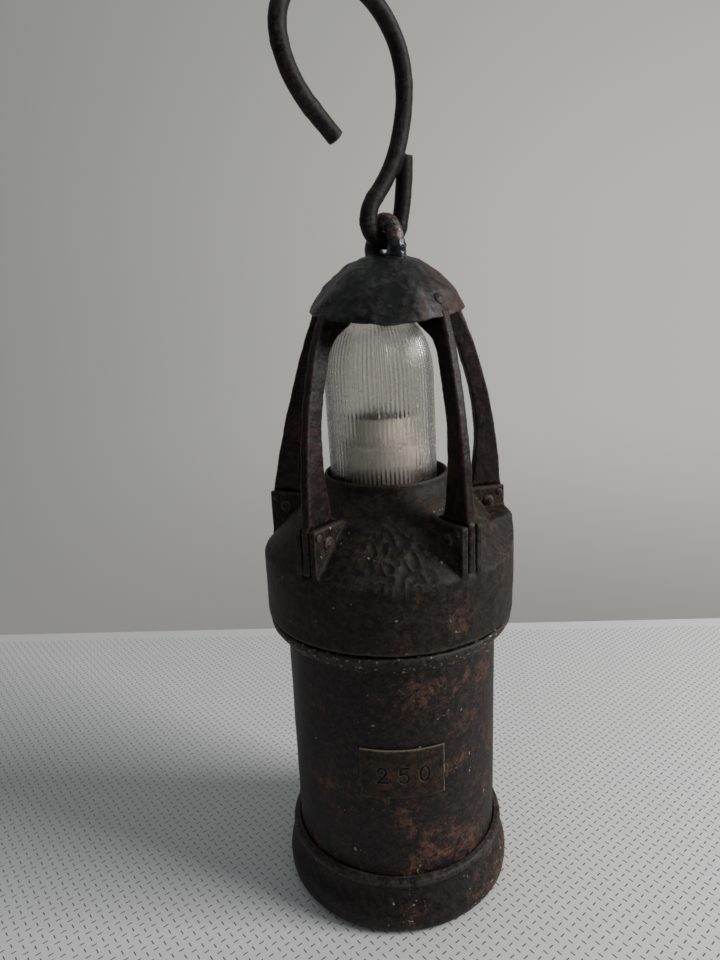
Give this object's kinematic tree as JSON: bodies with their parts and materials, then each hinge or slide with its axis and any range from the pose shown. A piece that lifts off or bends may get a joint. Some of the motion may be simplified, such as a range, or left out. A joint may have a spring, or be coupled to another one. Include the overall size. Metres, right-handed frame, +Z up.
{
  "type": "miners lamp",
  "caption": "Electric pit hand lamp: battery pot with a screwed cast head, ribbed glass bell behind riveted pillars, domed hood, and a wire hook swinging in a staple.",
  "frame": {"origin": "centre of the foot ring on the table, on the lamp's axis", "axes": "+Z up along the lamp's axis, -Y towards the front with the number plate, +X to the viewer's right"},
  "size_m": [0.1196, 0.1196, 0.42],
  "materials": {
    "pot_steel": "darkened, worn, rust patches",
    "cast_metal": "dark, greasy, rust bloom",
    "pillar_metal": "dark red-brown, worn edges",
    "hood_metal": "dark grey-green, rusted",
    "forged_steel": "forged, rusted, tarry in places",
    "rivet_steel": "worn",
    "plate_metal": "tarnished",
    "black_rubber": "matt",
    "cushion_felt": "felt",
    "clear_glass": "ribbed, slightly clouded",
    "bulb_glass": "clear",
    "white_enamel": "white enamel, aged",
    "white_moulding": "white, aged",
    "brass": "dull",
    "black_moulding": "hard rubber",
    "brown_laminate": "pressed laminate",
    "bright_steel": "plain"
  },
  "bodies": {
    "pot": {"pot_shell": "pot_steel", "base_skirt": "pot_steel", "pot_flange": "pot_steel", "number_plate": "plate_metal", "base_pad": "black_rubber", "battery_case": "black_moulding", "battery_lid": "black_moulding", "center_terminal": "brass", "side_terminal": "brass", "terminal_nuts": "brass", "vent_plugs": "black_rubber"},
    "seal_ring": {"head_gasket": "black_rubber"},
    "head": {"shoulder_cap": "cast_metal", "pillar_1": "pillar_metal", "pillar_2": "pillar_metal", "pillar_3": "pillar_metal", "pillar_4": "pillar_metal", "pillar_5": "pillar_metal", "large_ear_rivets": "rivet_steel", "small_ear_rivets": "rivet_steel", "hood": "hood_metal", "hood_rivets": "rivet_steel", "crown_plate": "pot_steel", "staple": "forged_steel", "top_cushion": "cushion_felt", "glass_bell": "clear_glass", "upper_glass_gasket": "black_rubber", "lower_glass_gasket": "black_rubber", "clamp_ring": "brass", "light_drum": "white_enamel", "bulb_holder": "white_moulding", "bulb_socket": "brass", "bulb_cap": "brass", "bulb_envelope": "bulb_glass", "filament": "bright_steel", "contact_disc": "brown_laminate", "disc_screws": "brass", "contact_bushes": "brass", "contact_springs": "bright_steel", "lock_spring": "bright_steel"},
    "contact_pins": {"contact_pins": "brass"},
    "lock_bolt": {"lock_bolt": "bright_steel"},
    "hook": {"hook": "forged_steel"}
  },
  "joints": [
    {"name": "head_rise", "type": "slide", "parent": "pot", "child": "seal_ring", "axis": [0, 0, 1], "range_m": [0, 0.001]},
    {"name": "head_turn", "type": "hinge", "parent": "seal_ring", "child": "head", "pos_m": [0, 0, 0], "axis": [0, 0, 1], "range_deg": [0, 45]},
    {"name": "lock_lift", "type": "slide", "parent": "head", "child": "lock_bolt", "axis": [0, 0, 1], "range_m": [0, 0.0035], "stiffness_N_per_m": 60, "deforming": ["lock_spring"]},
    {"name": "contact_press", "type": "slide", "parent": "head", "child": "contact_pins", "axis": [0, 0, 1], "range_m": [0, 0.0025], "stiffness_N_per_m": 200, "deforming": ["contact_springs"]},
    {"name": "hook_swing", "type": "hinge", "parent": "head", "child": "hook", "pos_m": [0.0024, 0, 0.31658], "axis": [0.829, 0.5592, 0], "range_deg": [-95, 95]}
  ],
  "couplings": [
    {"joint": "head_rise", "follows": "head_turn", "m_per_rad": 0.0012732}
  ]
}
